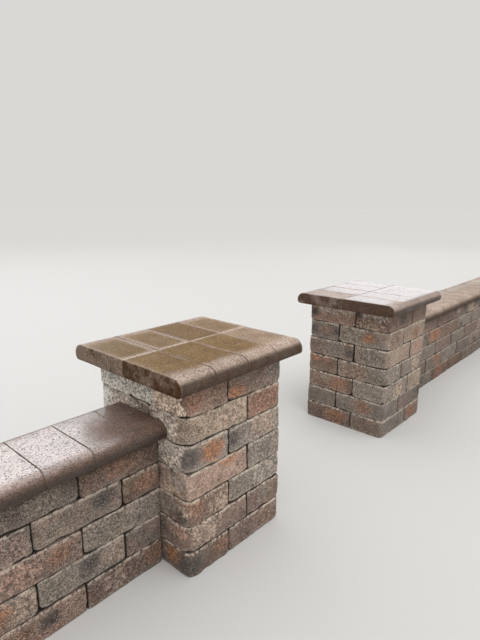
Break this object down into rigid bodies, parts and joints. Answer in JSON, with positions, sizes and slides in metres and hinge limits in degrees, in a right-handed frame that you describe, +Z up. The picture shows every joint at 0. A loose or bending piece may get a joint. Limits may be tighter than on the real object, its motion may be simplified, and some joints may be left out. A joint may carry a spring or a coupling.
{
  "type": "garden wall with gateway piers",
  "caption": "Low dry-laid block garden wall with bullnose coping, broken by a gateway between square capped piers and closed by a like pier at each end.",
  "frame": {"origin": "on the ground in the middle of the gateway, halfway through the wall's thickness", "axes": "+X along the wall to the right as seen from its front, +Y from the front to the back, +Z up"},
  "size_m": [9.1, 0.592, 0.76],
  "materials": {
    "block": "tumbled concrete block, mixed tan, brown, rust and charcoal, worn edges",
    "coping": "smooth-cast brown concrete with fine dark pits, part wet"
  },
  "bodies": {
    "root": {"left_end_pier_cap": "coping", "left_end_pier_course_1": "block", "left_end_pier_course_2": "block", "left_end_pier_course_3": "block", "left_end_pier_course_4": "block", "left_end_pier_course_5": "block", "left_end_pier_course_6": "block", "left_end_pier_course_7": "block", "left_gate_pier_cap": "coping", "left_gate_pier_course_1": "block", "left_gate_pier_course_2": "block", "left_gate_pier_course_3": "block", "left_gate_pier_course_4": "block", "left_gate_pier_course_5": "block", "left_gate_pier_course_6": "block", "left_gate_pier_course_7": "block", "left_wall_coping": "coping", "left_wall_course_1": "block", "left_wall_course_2": "block", "left_wall_course_3": "block", "left_wall_course_4": "block", "left_wall_course_5": "block", "right_end_pier_cap": "coping", "right_end_pier_course_1": "block", "right_end_pier_course_2": "block", "right_end_pier_course_3": "block", "right_end_pier_course_4": "block", "right_end_pier_course_5": "block", "right_end_pier_course_6": "block", "right_end_pier_course_7": "block", "right_gate_pier_cap": "coping", "right_gate_pier_course_1": "block", "right_gate_pier_course_2": "block", "right_gate_pier_course_3": "block", "right_gate_pier_course_4": "block", "right_gate_pier_course_5": "block", "right_gate_pier_course_6": "block", "right_gate_pier_course_7": "block", "right_wall_coping": "coping", "right_wall_course_1": "block", "right_wall_course_2": "block", "right_wall_course_3": "block", "right_wall_course_4": "block", "right_wall_course_5": "block"}
  },
  "joints": []
}
